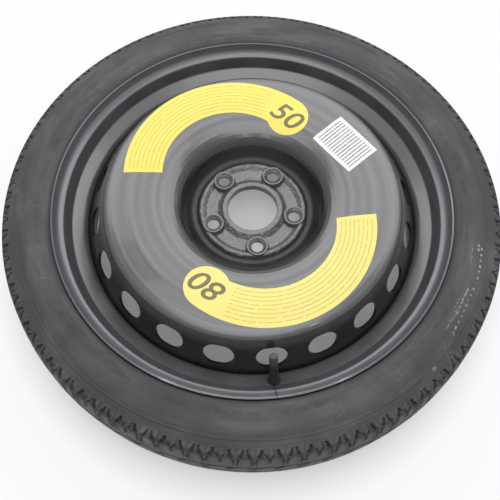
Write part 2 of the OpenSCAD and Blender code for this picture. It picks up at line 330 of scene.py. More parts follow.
@dataclass(frozen=True)
class BlackPaint:
    """Dipped black paint on pressed steel, with dust and specks; radii are in metres.

    press_lines are raised and painted paler along them, a painted highlight; soft_rings are dull, and the paler ring
    on the flange is a painted highlight. seam_turn is the angle of a dark butt seam in radians, and hub_radius that
    of a mottled hub plate with a duller bowl round it, darkened by painted shade, and painted shade on the skirt.
    """

    name: str
    colour: Colour
    roughness: float = 0.24
    coat: float = 0.45
    press_lines: tuple[float, ...] = ()
    soft_rings: tuple[float, ...] = ()
    highlight_ring: Optional[Span] = None
    seam_turn: Optional[float] = None
    hub_radius: Optional[float] = None
    bowl_foot: Span = (0.0675, 0.07)
    dust_colour: Colour = (0.085, 0.083, 0.08)
    speck_colour: Colour = (0.22, 0.21, 0.2)
    highlight_colour: Colour = (0.14, 0.14, 0.147)
    plate_colour: Colour = (0.06, 0.06, 0.063)
    bowl_shade_colour: Colour = (0.005, 0.005, 0.005)

    def make(self) -> bpy.types.Material:
        """Builds the material."""
        graph = Graph.named(self.name)
        radius = graph.axis("radius")
        cloud = graph.noise(14.0, 4.0)
        dust = (graph.noise(40.0, 2.0, seed=3.1).step(0.35, 0.9) * cloud.step(0.3, 0.8) * 0.5).clamped()
        specks = 1.0 - graph.cells(260.0).step(0.05, 0.11)
        specks = specks * graph.noise(35.0, 2.0, seed=7.7).step(0.55, 0.62)
        base = graph.blend(cloud, scaled(self.colour, 0.8), scaled(self.colour, 1.25))
        base = graph.blend(dust, base, self.dust_colour)
        base = graph.blend(specks * 0.6, base, self.speck_colour)
        rough = self.roughness + 0.1 * dust + 0.08 * (cloud - 0.5) + 0.2 * specks
        height = 0.1 * graph.noise(420.0, 2.0)
        coat: Number = self.coat
        if self.highlight_ring:
            # a paler ring on the flange, painted as the highlight of its bright band
            base = graph.blend(radius.window(*self.highlight_ring, 0.0016) * 0.75, base, self.highlight_colour)
        if self.hub_radius:
            plate = 1.0 - radius.step(self.hub_radius - 0.006, self.hub_radius + 0.004)
            rough = rough + plate * 0.14 * graph.noise(90.0, 3.0, seed=4.4)
            height = height + plate * graph.noise(150.0, 3.0, seed=9.2) * 60.0
            base = graph.blend(plate * 0.8, base, self.plate_colour)
            rough = rough + 0.3 * radius.between(self.bowl_foot, (0.078, 0.084))
            bowl = radius.between(self.bowl_foot, (0.086, 0.104))
            # the bowl round the hub plate is painted near black, a painted shade on its wall
            base = graph.blend(bowl * 0.8, base, self.bowl_shade_colour)
            coat = self.coat * (1.0 - bowl)
        for ring in self.soft_rings:
            rough = rough + 0.24 * radius.near(ring, 0.0025, 0.0035)
        for ring in self.press_lines:
            # each press line is raised and painted paler along its ridge, a painted highlight
            line = radius.near(ring, 0.0014, 0.0026)
            base = graph.blend(line * 0.7, base, scaled(self.colour, 3.2))
            height = height + 6.0 * line
        if self.seam_turn is not None:
            seam = graph.axis("turn").near(self.seam_turn, 0.0022, 0.0012)
            base = graph.blend(seam * 0.9, base, DEEP_BLACK)
            height = height - 6.0 * seam
        waves = graph.bump(graph.noise(30.0, 1.0, seed=1.3), 0.0006, 0.05)
        shared = {"Roughness": rough, "Normal": graph.bump(height, 0.00005, 1.0, waves)}
        glossy = graph.principled(
            Base_Color=base, Specular_IOR_Level=0.85, Coat_Weight=coat, Coat_Roughness=0.08, **shared
        )
        if not self.hub_radius:
            return graph.close(glossy)
        # where the mask holds the paint is duller and its colour darkened towards black, a painted shade
        dull_shaded = graph.principled(Base_Color=graph.blend(0.6, base, DEEP_BLACK), Specular_IOR_Level=0.3, **shared)
        return graph.close(graph.mix(self.shaded_dull_mask(graph), glossy, dull_shaded))

    def shaded_dull_mask(self, graph: Graph) -> Wire:
        """The mask of the bowl's wall and the skirt, whose paint is duller and darkened as painted shade."""
        radius = graph.axis("radius")
        bowl = radius.between(self.bowl_foot, (0.084, 0.1))
        skirt = radius.step(0.17, 0.18) * (1.0 - graph.axis("Z").step(0.021, 0.03))
        return (bowl * 0.5 + skirt * 0.85).clamped()


@dataclass(frozen=True)
class WeldPaint:
    """Paint over a rough weld bead."""

    name: str = "weld_paint"
    low: Colour = (0.018, 0.018, 0.02)
    high: Colour = (0.05, 0.047, 0.045)

    def make(self) -> bpy.types.Material:
        """Builds the material."""
        graph = Graph.named(self.name)
        cloud = graph.noise(90.0, 4.0)
        ripple = (graph.axis("turn") * 700.0).sine() * 0.5 + 0.5
        normal = graph.bump(ripple + cloud, 0.0004, 0.8)
        base = graph.blend(cloud, self.low, self.high)
        return graph.surface(Base_Color=base, Roughness=0.32 + 0.2 * cloud, Normal=normal)


@dataclass(frozen=True)
class Scuff:
    """A chalky rub on the rubber.

    radius is its middle line's and across half of its width, in metres; turn is its middle's and reach half of
    its angle, in degrees. weight says how white it is, and dots is the pitch that breaks it into dots, or 0.
    """

    radius: float
    turn: float
    reach: float
    across: float
    weight: float
    dots: float = 0.0


@dataclass(frozen=True)
class Rubber:
    """Moulded tyre rubber, greyed by storage, with fine rings, dashes, chalky scuffs, earth in the tread and a
    painted shadow by the rim.

    The spans are radii in metres, from the rim's lip to the shoulder, and earth_turn is in radians.
    """

    name: str = "tread_rubber"
    colour: Colour = (0.043, 0.043, 0.045)
    scuffs: tuple[Scuff, ...] = ()
    dull_ring: Span = (0.2868, 0.2925)
    fine_rings: Span = (0.2775, 0.283)
    dashes: Span = (0.2625, 0.2675)
    lip: Span = (0.2505, 0.2575)
    shoulder: Span = (0.298, 0.312)
    earth_turn: Span = (-2.16, -1.84)
    dull_colour: Colour = (0.02, 0.021, 0.024)
    smear_colour: Colour = (0.11, 0.11, 0.108)
    lip_shadow_colour: Colour = (0.012, 0.012, 0.013)
    earth_colour: Colour = (0.2, 0.15, 0.1)
    chalk_colour: Colour = (0.42, 0.41, 0.39)

    def scuffed(self, graph: Graph) -> Wire:
        """The mask of the chalky marks, 1 where they are whitest."""
        radius, turn = graph.axis("radius"), graph.axis("turn")
        wander = (turn * 23.0).sine() * 0.0007
        total: Number = 0.0
        for mark in self.scuffs:
            spot = (radius + wander).near(mark.radius, mark.across, 0.0004) * mark.weight
            spot = spot * turn.near(math.radians(mark.turn), math.radians(mark.reach), 0.006)
            if mark.dots:
                spot = spot * (turn * mark.dots).sine().step(-0.1, 0.5)
            total = spot.math("MAXIMUM", total)
        ragged = graph.noise(310.0, 4.0, seed=5.5).step(0.4, 0.62)
        faint = graph.noise(24.0, 5.0, seed=2.2).step(0.56, 0.72) * 0.14
        faint = faint * graph.noise(240.0, 4.0, seed=6.0).step(0.5, 0.7)
        return (ragged * total + faint).clamped()

    def make(self) -> bpy.types.Material:
        """Builds the material."""
        graph = Graph.named(self.name)
        radius, turn = graph.axis("radius"), graph.axis("turn")
        bloom = graph.noise(38.0, 5.0, Space.POLAR, (1.0, 0.35, 1.0), 1.7)
        shade = (0.55 * graph.noise(9.0, 5.0) + 0.45 * bloom).step(0.34, 0.66)
        smear = graph.noise(60.0, 5.0, Space.POLAR, (1.0, 0.22, 1.0), 6.6).step(0.44, 0.66)
        smear = smear * graph.noise(13.0, 3.0, seed=8.1).step(0.36, 0.56) * (1.0 - radius.step(0.305, 0.312))
        earth = radius.step(*self.shoulder) * graph.noise(75.0, 5.0, seed=9.0).step(0.5, 0.66)
        earthy = (earth * (0.16 + 0.8 * turn.window(*self.earth_turn, 0.1))).clamped()
        chalk = self.scuffed(graph)
        base = graph.blend(shade, scaled(self.colour, 0.45), scaled(self.colour, 1.35))
        for mask, colour in (
            (radius.window(*self.dull_ring, 0.0022) * 0.35, self.dull_colour),
            (smear * 0.5, self.smear_colour),
            # the rubber next to the rim's lip is darkened, a painted shadow of the gap between the tyre and the
            # flange
            ((1.0 - radius.step(*self.lip)) * 0.8, self.lip_shadow_colour),
            (earthy, self.earth_colour),
            (chalk, self.chalk_colour),
        ):
            base = graph.blend(mask, base, colour)
        rings = (radius * 2100.0).sine() * radius.window(*self.fine_rings, 0.0012) * 0.5
        dashes = (turn * 800.0).sine().step(-0.2, 0.5) * radius.window(*self.dashes, 0.0006)
        sectors = graph.noise(1.0, 0.0, Space.POLAR, (0.0, 90.0, 0.0), 4.0).step(0.47, 0.5)
        grain = graph.noise(1400.0, 2.0) - 0.5
        relief = 0.5 * rings + 1.6 * dashes * sectors + 0.8 * grain + 1.6 * bloom
        rough = 0.62 + 0.16 * (shade - 0.5) + 0.2 * chalk + 0.1 * earth
        normal = graph.bump(relief, 0.00022, 0.9)
        return graph.surface(Base_Color=base, Roughness=rough, Normal=normal, Specular_IOR_Level=0.42)


@dataclass(frozen=True)
class RuledFilm:
    """A printed film with rows of short plain strokes along arcs round a centre.

    Lengths are in metres. inner and outer are the radii of the first and the last row, and span the rows' angles
    in degrees, counted from start.
    """

    name: str
    ground: Colour
    ink: Colour
    centre: Span
    inner: float
    outer: float
    pitch: float
    start: float
    span: Span
    dirt_colour: Colour = (0.28, 0.26, 0.2)

    def make(self) -> bpy.types.Material:
        """Builds the material."""
        graph = Graph.named(self.name)
        along, across = graph.turned(self.centre, self.start)
        reach = (along ** 2.0 + across ** 2.0).root()
        angle = across.math("ARCTAN2", along)
        row = (reach - self.inner) * (1.0 / self.pitch)
        low, high = (math.radians(limit) for limit in self.span)
        ink = row.fract().window(0.36, 0.58, 0.08) * reach.window(self.inner, self.outer, 0.0004)
        ink = ink * angle.window(low, high, 0.004)
        ink = ink * graph.row_noise(angle * reach * 520.0, row.floor() * 7.31, 0.42).step(0.3, 0.42)
        cloud = graph.noise(45.0, 4.0)
        dirt = graph.noise(120.0, 4.0, seed=4.4).step(0.6, 0.78)
        base = graph.blend(cloud, scaled(self.ground, 0.9), self.ground)
        base = graph.blend(ink * 0.5, base, self.ink)
        base = graph.blend(dirt * 0.16, base, self.dirt_colour)
        normal = graph.bump(graph.noise(160.0, 2.0), 0.0001, 0.5)
        return graph.surface(Base_Color=base, Roughness=0.32 + 0.12 * cloud, Normal=normal, Specular_IOR_Level=0.6)


@dataclass(frozen=True)
class BarFilm:
    """A white film with plain grey bars across it, in metres; turn is its short side's, in degrees."""

    name: str
    middle: Span
    turn: float
    length: float
    width: float
    margin: Span = (0.004, 0.0045)
    pitch: float = 0.0044
    paper: tuple[Colour, Colour] = ((0.78, 0.78, 0.77), (0.9, 0.9, 0.89))
    ink: Colour = (0.07, 0.07, 0.075)

    def make(self) -> bpy.types.Material:
        """Builds the material."""
        graph = Graph.named(self.name)
        across, along = graph.turned(self.middle, self.turn)
        field = along.near(0.0, self.length / 2 - self.margin[0], 0.0003)
        field = field * across.near(0.0, self.width / 2 - self.margin[1], 0.0003)
        row = along * (1.0 / self.pitch)
        bars = row.fract().window(0.24, 0.76, 0.05)
        breaks = graph.row_noise(across * 210.0, row.floor() * 5.3, 1.0)
        cloud = graph.noise(60.0, 4.0)
        base = graph.blend(cloud, *self.paper)
        base = graph.blend(field * bars * (0.56 + 0.26 * breaks.step(0.3, 0.7)), base, self.ink)
        normal = graph.bump(graph.noise(190.0, 2.0), 0.0001, 0.5)
        return graph.surface(Base_Color=base, Roughness=0.42 + 0.12 * cloud, Normal=normal)


@dataclass(frozen=True)
class PrintInk:
    """Dark olive ink of the labels' numbers."""

    name: str = "print_ink"
    low: Colour = (0.1, 0.09, 0.035)
    high: Colour = (0.19, 0.165, 0.06)

    def make(self) -> bpy.types.Material:
        """Builds the material."""
        graph = Graph.named(self.name)
        cloud = graph.noise(300.0, 3.0)
        normal = graph.bump(cloud, 0.00004, 0.6)
        base = graph.blend(cloud, self.low, self.high)
        return graph.surface(Base_Color=base, Roughness=0.4 + 0.15 * cloud, Normal=normal)


@dataclass(frozen=True)
class Plain:
    """A small part's finish: a clouded colour, its gloss, and a grain in cells to a metre, with its depth."""

    name: str
    colour: Colour
    roughness: float
    metallic: float = 0.0
    grain: float = 900.0
    depth: float = 0.00003

    def make(self) -> bpy.types.Material:
        """Builds the material."""
        graph = Graph.named(self.name)
        cloud = graph.noise(240.0, 4.0)
        base = graph.blend(cloud, scaled(self.colour, 0.72), scaled(self.colour, 1.2))
        rough = self.roughness + 0.2 * (cloud - 0.5)
        normal = graph.bump(graph.noise(self.grain, 3.0), self.depth, 0.8)
        return graph.surface(Base_Color=base, Roughness=rough, Metallic=self.metallic, Normal=normal)


# Shapes


@dataclass(frozen=True)
class Corner:
    """A corner of a section: radius or reach, height and the fillet's radius, all in millimetres."""

    r: float
    z: float
    fillet: float = 0.0


class Profile:
    """A section line with rounded corners that can be walked by length.

    Args:
        corners: Its corners.
        step: The largest angle between two points of a fillet, in degrees.
    """

    SMALLEST_FILLET = 0.05
    SLOPE_REACH = 0.4
    SEARCH_STEPS = 4000

    def __init__(self, corners: Sequence[Corner], step: float = 9.0) -> None:
        """Rounds the corners and measures the line."""
        raw: list[Vector] = []
        for index, corner in enumerate(corners):
            here = Vector((corner.r, corner.z))
            if index in (0, len(corners) - 1) or corner.fillet < self.SMALLEST_FILLET:
                raw.append(here)
                continue
            before, after = corners[index - 1], corners[index + 1]
            back = (Vector((before.r, before.z)) - here).normalized()
            ahead = (Vector((after.r, after.z)) - here).normalized()
            half = back.angle(ahead) / 2
            reach = corner.fillet / math.tan(half)
            centre = here + (back + ahead).normalized() * (corner.fillet / math.sin(half))
            arm = here + back * reach - centre
            turning = back.x * ahead.y - back.y * ahead.x
            sweep = (math.pi - 2 * half) * (-1 if turning > 0 else 1)
            count = max(1, math.ceil(abs(math.degrees(sweep)) / step))
            for k in range(count + 1):
                raw.append(centre + Matrix.Rotation(sweep * k / count, 2) @ arm)
        self.points = [raw[0]]
        for point in raw[1:]:
            if (point - self.points[-1]).length > SAME:
                self.points.append(point)
        self.marks = [0.0]
        for a, b in zip(self.points, self.points[1:]):
            self.marks.append(self.marks[-1] + (b - a).length)

    def index(self, s: float) -> int:
        """The number of the piece of line that holds the length s."""
        for k in range(len(self.marks) - 2):
            if s <= self.marks[k + 1]:
                return k
        return len(self.marks) - 2

    def at(self, s: float) -> Vector:
        """The point at length s."""
        k = self.index(s)
        part = (s - self.marks[k]) / (self.marks[k + 1] - self.marks[k])
        return self.points[k].lerp(self.points[k + 1], part)

    def side(self, s: float) -> Vector:
        """The unit normal at length s, to the left of the line's run."""
        run = self.at(min(s + self.SLOPE_REACH, self.marks[-1])) - self.at(max(s - self.SLOPE_REACH, 0.0))
        return Vector((-run.y, run.x)).normalized()

    def nearest(self, r: float, z: float) -> float:
        """The length of the line's point nearest to a given one."""
        target = Vector((r, z))
        places = (self.marks[-1] * k / self.SEARCH_STEPS for k in range(self.SEARCH_STEPS + 1))
        return min(places, key=lambda s: (self.at(s) - target).length)


@dataclass(frozen=True)
class Stroke:
    """A straight cut of the flat tread: two ends as share of the pitch and distance from the middle, and a width."""

    start: Span
    end: Span
    width: float

    def corners(self, pitch: float) -> list[Vector]:
        """The cut's four corners, anticlockwise, for a pitch of a given length."""
        a, b = (Vector((point[0] * pitch, point[1])) for point in (self.start, self.end))
        run = (b - a).normalized()
        side = Vector((-run.y, run.x)) * (self.width / 2)
        return [a - side, b - side, b + side, a + side]

    def mirrored(self) -> "Stroke":
        """The same cut on the other shoulder."""
        (ax, ay), (bx, by) = self.start, self.end
        return Stroke((1.0 - ax, -ay), (1.0 - bx, -by), self.width)


def inside(point: Vector, corners: Sequence[Vector]) -> bool:
    """Whether a flat point lies in a convex outline, whose corners run anticlockwise."""
    for a, b in zip(corners, [*corners[1:], corners[0]]):
        if (b.x - a.x) * (point.y - a.y) - (b.y - a.y) * (point.x - a.x) < -1e-6:
            return False
    return True


def placed(name: str, data: bpy.types.ID) -> bpy.types.Object:
    """Links a new object that holds the data."""
    made = bpy.data.objects.new(name, data)
    bpy.context.scene.collection.objects.link(made)
    return made


def meshed(shape: bmesh.types.BMesh, name: str, material: bpy.types.Material) -> bpy.types.Object:
    """Turns a bmesh into an object with one material."""
    mesh = bpy.data.meshes.new(name)
    shape.to_mesh(mesh)
    shape.free()
    mesh.materials.append(material)
    return placed(name, mesh)


def finish_mesh(
    shape: bmesh.types.BMesh, name: str, material: bpy.types.Material, body: Body, sharp: float = 35.0
) -> bpy.types.Object:
    """Turns a bmesh into a piece.

    Args:
        shape: The shape, in metres, in the row's frame.
        name: The piece's name.
        material: Its material.
        body: The body that it rides on.
        sharp: The angle past which an edge stays sharp, in degrees.

    Returns:
        The piece's object.
    """
    piece = meshed(shape, name, material)
    mesh = piece.data
    mesh.polygons.foreach_set("use_smooth", [True] * len(mesh.polygons))
    mesh.set_sharp_from_angle(angle=math.radians(sharp))
    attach(piece, body.value)
    LOG.info("%s: %d faces", name, len(mesh.polygons))
    return piece


def dress(node: str, material: bpy.types.Material) -> None:
    """Gives a CAD node its material in all its slots."""
    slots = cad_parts[node].data.materials
    if not len(slots):
        slots.append(material)
    for index in range(len(slots)):
        slots[index] = material
    LOG.info("%s: %s", node, material.name)


# Tyre


@dataclass
class Tyre:
    """The tyre, in millimetres: one pitch is cut flat, wrapped onto the section and repeated round the wheel.

    Cuts are rib_cut deep on the middle rib, tread_cut beside it and shoulder_cut at the shoulder, and run out by
    fade on the sidewall. rings are the sidewall's raised rings: place, half width and height. Rows of points
    stand at least row_gap apart.
    """

    radius: float = 316.0
    tread_half: float = 48.0
    tread_drop: float = 4.5
    section_half: float = 64.0
    rim_half: float = 50.8
    toe_radius: float = 232.6
    heel_radius: float = 238.3
    flange_radius: float = 249.3
    centre_z: float = -31.0
    pitches: int = 36
    groove: Span = (14.0, 20.0)
    groove_depth: float = 3.0
    groove_edge: float = 0.8
    rib_edge: float = 14.5
    rib_cut: float = 2.0
    tread_cut: float = 3.2
    shoulder_cut: float = 4.6
    deepens: Span = (36.0, 44.0)
    fades: Span = (52.0, 61.0)
    fade: float = 2.6
    row_gap: float = 0.12
    rings: tuple[Triple, ...] = ((72.0, 1.4, 0.45), (105.0, 1.2, 0.35))

    def tread(self, x: float) -> float:
        """The radius of the tread at a distance from the middle."""
        return self.radius - self.tread_drop * (x / self.tread_half) ** 2

    def section(self) -> Profile:
        """The whole section, from the front toe over the tread, back through the inside."""
        toe, heel, lip = self.toe_radius, self.heel_radius, self.flange_radius
        outer = [
            Corner(toe, self.rim_half - 15.3, 0),
            Corner(heel, self.rim_half - 4.0, 1.2),
            Corner(lip - 3.86, self.rim_half - 1.31, 12.9),
            Corner(lip + 0.9, self.section_half - 3.6, 1.5),
            Corner(lip + 5, self.section_half - 1.6, 4),
            Corner(lip + 14, self.section_half - 0.2, 20),
            Corner(lip + 29, self.section_half, 30),
            Corner(lip + 49, self.section_half - 6, 20),
            Corner(self.tread(self.tread_half) - 0.5, self.tread_half + 3.5, 7),
            *[Corner(self.tread(x), x) for x in (40, 30, 20)],
        ]
        inner = [
            Corner(toe + 0.2, self.rim_half - 19.3, 1),
            Corner(lip - 6, self.rim_half - 9, 8),
            Corner(lip + 3, self.section_half - 9.4, 8),
            Corner(lip + 29, self.section_half - 7, 30),
            Corner(self.tread(self.tread_half) - 11, self.tread_half - 10, 22),
            Corner(self.radius - 11, 12),
        ]

        def flip(part: Iterable[Corner]) -> list[Corner]:
            """The same corners on the other side."""
            return [Corner(c.r, -c.z, c.fillet) for c in part]

        line = [*outer, Corner(self.radius, 0), *reversed(flip(outer)), *flip(inner), *reversed(inner), outer[0]]
        return Profile(line, step=10.0)

    def cuts(self) -> list[Stroke]:
        """The grooves of one pitch, both shoulders and the middle rib."""
        shoulder = []
        for apex in (0.185, 0.815):
            for side in (-1, 1):
                shoulder.append(Stroke((apex + side * 0.15, 61.5), (apex + side * 0.06, 51.0), 2.1))
                shoulder.append(Stroke((apex + side * 0.062, 51.8), (apex + side * 0.008, 24.0), 2.5))
        for side in (-1, 1):
            shoulder.append(Stroke((0.5 + side * 0.125, 60.5), (0.5 + side * 0.03, 52.5), 1.8))
        shoulder.append(Stroke((0.5, 52.0), (0.5, 38.0), 2.4))
        middle = [Stroke((0.2, 14.0), (0.34, 3.0), 1.4), Stroke((0.7, 14.0), (0.84, 3.0), 1.4)]
        half = shoulder + middle
        return half + [stroke.mirrored() for stroke in half]

    def depth(self, s: float) -> float:
        """How deep a cut is at a distance from the tread's middle."""
        reach = abs(s)
        if reach < self.rib_edge:
            return self.rib_cut
        if reach < self.fades[0]:
            return self.tread_cut + (self.shoulder_cut - self.tread_cut) * share(reach, self.deepens)
        return self.shoulder_cut - self.fade * share(reach, self.fades)

    def relief(self, s: float) -> float:
        """The height of the round grooves and rings at a signed distance from the tread's middle."""
        reach = abs(s)
        low, high = self.groove
        if low < reach < high:
            return -self.groove_depth * min(1.0, min(reach - low, high - reach) / self.groove_edge)
        for ring, half, rise in self.rings:
            gap = abs(reach - ring)
            if gap < half:
                return rise * min(1.0, (half - gap) / (half * 0.5))
        return 0.0

    def rows(self, profile: Profile, middle: float) -> list[float]:
        """The lengths at which the flat pitch has a row of points, in order; middle is the tread's middle."""
        places = list(profile.marks)
        low, high = self.groove
        extra = [low, low + self.groove_edge, high - self.groove_edge, high]
        for ring, half, _ in self.rings:
            extra += [ring - half, ring - half * 0.5, ring + half * 0.5, ring + half]
        places += [middle + sign * value for value in extra for sign in (-1, 1)]
        places.sort()
        kept = [places[0]]
        for value in places[1:]:
            if value - kept[-1] > self.row_gap:
                kept.append(value)
        kept[-1] = profile.marks[-1]
        return kept

    def flat_pitch(self, profile: Profile, middle: float, columns: int = 5) -> bmesh.types.BMesh:
        """One pitch laid flat: x is the arc, y the length from the middle, z the height.

        Args:
            profile: The section.
            middle: The length at the tread's middle.
            columns: The number of faces along the arc.

        Returns:
            The flat mesh, with its grooves sunk.
        """
        rows = self.rows(profile, middle)
        pitch = 2 * math.pi * self.radius / self.pitches
        shape = bmesh.new()
        bmesh.ops.create_grid(shape, x_segments=columns, y_segments=len(rows) - 1, size=1.0)
        levels = sorted({round(vert.co.y, 5) for vert in shape.verts})
        order = {level: rows[k] - middle for k, level in enumerate(levels)}
        for vert in shape.verts:
            vert.co = Vector(((vert.co.x + 1) / 2 * pitch, order[round(vert.co.y, 5)], 0.0))
        outlines = [stroke.corners(pitch) for stroke in self.cuts()]
        for outline in outlines:
            self.slice(shape, outline)
        sunk = [
            face
            for face in shape.faces
            if any(inside(face.calc_center_median().xy, outline) for outline in outlines)
        ]
        pushed = bmesh.ops.extrude_face_region(shape, geom=sunk)["geom"]
        lowered = {part for part in pushed if isinstance(part, bmesh.types.BMVert)}
        for vert in shape.verts:
            base = self.relief(vert.co.y)
            vert.co.z = min(base, -self.depth(vert.co.y)) if vert in lowered else base
        return shape

    def slice(self, shape: bmesh.types.BMesh, outline: Sequence[Vector]) -> None:
        """Cuts the flat faces under an outline along its sides."""
        low = Vector((min(p.x for p in outline), min(p.y for p in outline)))
        high = Vector((max(p.x for p in outline), max(p.y for p in outline)))
        for a, b in zip(outline, [*outline[1:], outline[0]]):
            near = []
            for face in shape.faces:
                xs, ys = [v.co.x for v in face.verts], [v.co.y for v in face.verts]
                if max(xs) > low.x and min(xs) < high.x and max(ys) > low.y and min(ys) < high.y:
                    near.append(face)
            # A dict keeps its order, so each run cuts alike
            geom = dict.fromkeys([*near, *(e for f in near for e in f.edges), *(v for f in near for v in f.verts)])
            run = (b - a).normalized()
            bmesh.ops.bisect_plane(
                shape, geom=list(geom), dist=1e-4, plane_co=(a.x, a.y, 0.0), plane_no=(-run.y, run.x, 0.0)
            )

    def build(self, material: bpy.types.Material) -> None:
        """Builds the whole tyre in a rubber."""
        profile = self.section()
        middle = profile.nearest(self.radius, 0.0)
        shape = self.flat_pitch(profile, middle)
        for vert in shape.verts:
            point = profile.at(vert.co.y + middle)
            side = profile.side(vert.co.y + middle)
            spot = point + side * vert.co.z
            angle = vert.co.x / self.radius
            vert.co = (spot.x * math.cos(angle) * MM, spot.x * math.sin(angle) * MM, (spot.y + self.centre_z) * MM)
        turn = 2 * math.pi / self.pitches
        bmesh.ops.spin(
            shape, geom=shape.verts[:] + shape.edges[:] + shape.faces[:], cent=(0, 0, 0), axis=(0, 0, 1),
            angle=turn * (self.pitches - 1), steps=self.pitches - 1, use_duplicate=True,
        )
        bmesh.ops.remove_doubles(shape, verts=shape.verts[:], dist=SAME * MM)
        bmesh.ops.recalc_face_normals(shape, faces=shape.faces[:])
        piece = finish_mesh(shape, "tyre_moulding", material, Body.WHEEL, 32.0)
        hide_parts("tyre")


# Labels


@dataclass
class SpeedLabel:
    """A curved yellow label in millimetres and degrees, with a plain number on its head.

    centre is its band's, cut the angle of its square end, and gaps the angles without strokes at both ends.
    """

    node: str
    number: str
    centre: Span
    cut: float
    ground: Colour = (0.89, 0.72, 0.09)
    ink: Colour = (0.2, 0.17, 0.03)
    band_radius: float = 136.5
    band_width: float = 48.0
    band_angle: float = 132.0
    head_reach: float = 109.4
    digit_height: float = 27.0
    digit_stretch: float = 1.12
    margin: float = 3.0
    pitch: float = 5.2
    gaps: Span = (17.0, 2.5)
    print_lift: float = 0.06

    def film(self) -> RuledFilm:
        """The label's printed film."""
        half = self.band_angle / 2
        return RuledFilm(
            name=self.node + "_film",
            ground=self.ground,
            ink=self.ink,
            centre=(self.centre[0] * MM, self.centre[1] * MM),
            inner=(self.band_radius - self.band_width + self.margin) * MM,
            outer=(self.band_radius - self.margin) * MM,
            pitch=self.pitch * MM,
            start=self.cut - half,
            span=(self.gaps[0] - half, half - self.gaps[1]),
        )

    def outline(self) -> bmesh.types.BMesh:
        """The number as a flat shape of small faces, in the font's own size."""
        curve = bpy.data.curves.new(self.node + "_number", "FONT")
        curve.body, curve.align_x, curve.align_y, curve.size = self.number, "CENTER", "CENTER", 1.0
        curve.shear, curve.offset = 0.22, 0.012
        words = placed(curve.name + "_curve", curve)
        bpy.context.view_layer.update()
        flat = bpy.data.meshes.new_from_object(words.evaluated_get(bpy.context.evaluated_depsgraph_get()))
        bpy.data.objects.remove(words)
        bpy.data.curves.remove(curve)
        shape = bmesh.new()
        shape.from_mesh(flat)
        bpy.data.meshes.remove(flat)
        bmesh.ops.triangulate(shape, faces=shape.faces[:])
        for _ in range(2):
            bmesh.ops.subdivide_edges(shape, edges=shape.edges[:], cuts=1, use_grid_fill=True)
        return shape

    def digits(self, lift: Callable[[float], float], material: bpy.types.Material) -> None:
        """The number on the label's head, as a thin print.

        Args:
            lift: Gives the label's height in metres at a radius in metres.
            material: The ink.
        """
        shape = self.outline()
        xs, ys = [v.co.x for v in shape.verts], [v.co.y for v in shape.verts]
        scale = self.digit_height * MM / (max(ys) - min(ys))
        middle = Vector(((max(xs) + min(xs)) / 2, (max(ys) + min(ys)) / 2, 0.0))
        angle = math.radians(self.cut - self.band_angle)
        head = Vector((*self.centre, 0.0)) + self.head_reach * Vector((math.cos(angle), math.sin(angle), 0.0))
        turned = Matrix.Translation(head * MM) @ Matrix.Rotation(angle - math.pi / 2, 4, "Z")
        for vert in shape.verts:
            local = (vert.co - middle) * scale
            spot = turned @ Vector((local.x * self.digit_stretch, local.y, 0.0))
            vert.co = Vector((spot.x, spot.y, lift(spot.xy.length) + self.print_lift * MM))
        bmesh.ops.recalc_face_normals(shape, faces=shape.faces[:])
        if sum(face.normal.z for face in shape.faces) < 0:
            bmesh.ops.reverse_faces(shape, faces=shape.faces[:])
        finish_mesh(shape, self.node + "_number", material, Body.WHEEL)

    def build(self, lift: Callable[[float], float], ink: bpy.types.Material) -> None:
        """Dresses the label and prints its number in an ink, at the heights that lift gives."""
        dress(self.node, self.film().make())
        self.digits(lift, ink)


@dataclass
class LabelFace:
    """The printed sheets on the crown and the line of the disc's front below them, in millimetres and degrees.

    lift is a label's height over the steel; tag_reach, tag_at, tag_turn and tag_size place the white label.
    """

    lift: float = 0.28
    bowl_foot: Span = (76.5, 3.5)
    skirt_foot: Span = (210.5, -10.5)
    top: float = 41.0
    mouth: float = 108.0
    edge: float = 186.0
    tag_reach: float = 141.0
    tag_at: float = 34.7
    tag_turn: float = 42.0
    tag_size: Span = (67.0, 49.5)

    def crown(self) -> Profile:
        """The disc's front from the bowl out over the crown."""
        top, mouth, edge = self.top, self.mouth, self.edge
        corners = [
            Corner(*self.bowl_foot),
            Corner(mouth - 14, top - 8, 32),
            Corner(mouth + 14, top - 2, 30),
            Corner(mouth + 20, top - 1.6, 20),
            Corner(mouth + 42, top, 60),
            Corner(edge - 14, top - 0.6, 30),
            Corner(edge - 3.5, top - 1.4, 9),
            Corner(*self.skirt_foot),
        ]
        return Profile(corners, step=4.0)

    def height(self) -> Callable[[float], float]:
        """Gives a function from a radius to the height of a label's top, in metres."""
        points = sorted((p.x, p.y) for p in self.crown().points)

        def lift(radius: float) -> float:
            """The height of the label's top at a radius, both in metres."""
            r = radius / MM
            for (ra, za), (rb, zb) in zip(points, points[1:]):
                if ra <= r <= rb:
                    slope = (zb - za) / max(rb - ra, 1e-9)
                    return (za + slope * (r - ra) + self.lift * math.hypot(1.0, slope)) * MM
            return points[-1][1] * MM

        return lift

    def build(self) -> None:
        """Builds the prints of all three labels."""
        ink = PrintInk().make()
        lift = self.height()
        SpeedLabel("speed_label_upper", "50", (-25.7, 35.6), 183.5).build(lift, ink)
        # the lower label's ground is more washed out than the upper's, a painted reflection on its film
        SpeedLabel("speed_label_lower", "80", (14.7, -34.0), 5.5, (0.86, 0.72, 0.17)).build(lift, ink)
        angle, reach = math.radians(self.tag_at), self.tag_reach * MM
        middle = (reach * math.cos(angle), reach * math.sin(angle))
        length, width = (size * MM for size in self.tag_size)
        dress("parts_label", BarFilm("parts_label_film", middle, self.tag_turn, length, width).make())


# Finishes of the CAD pieces


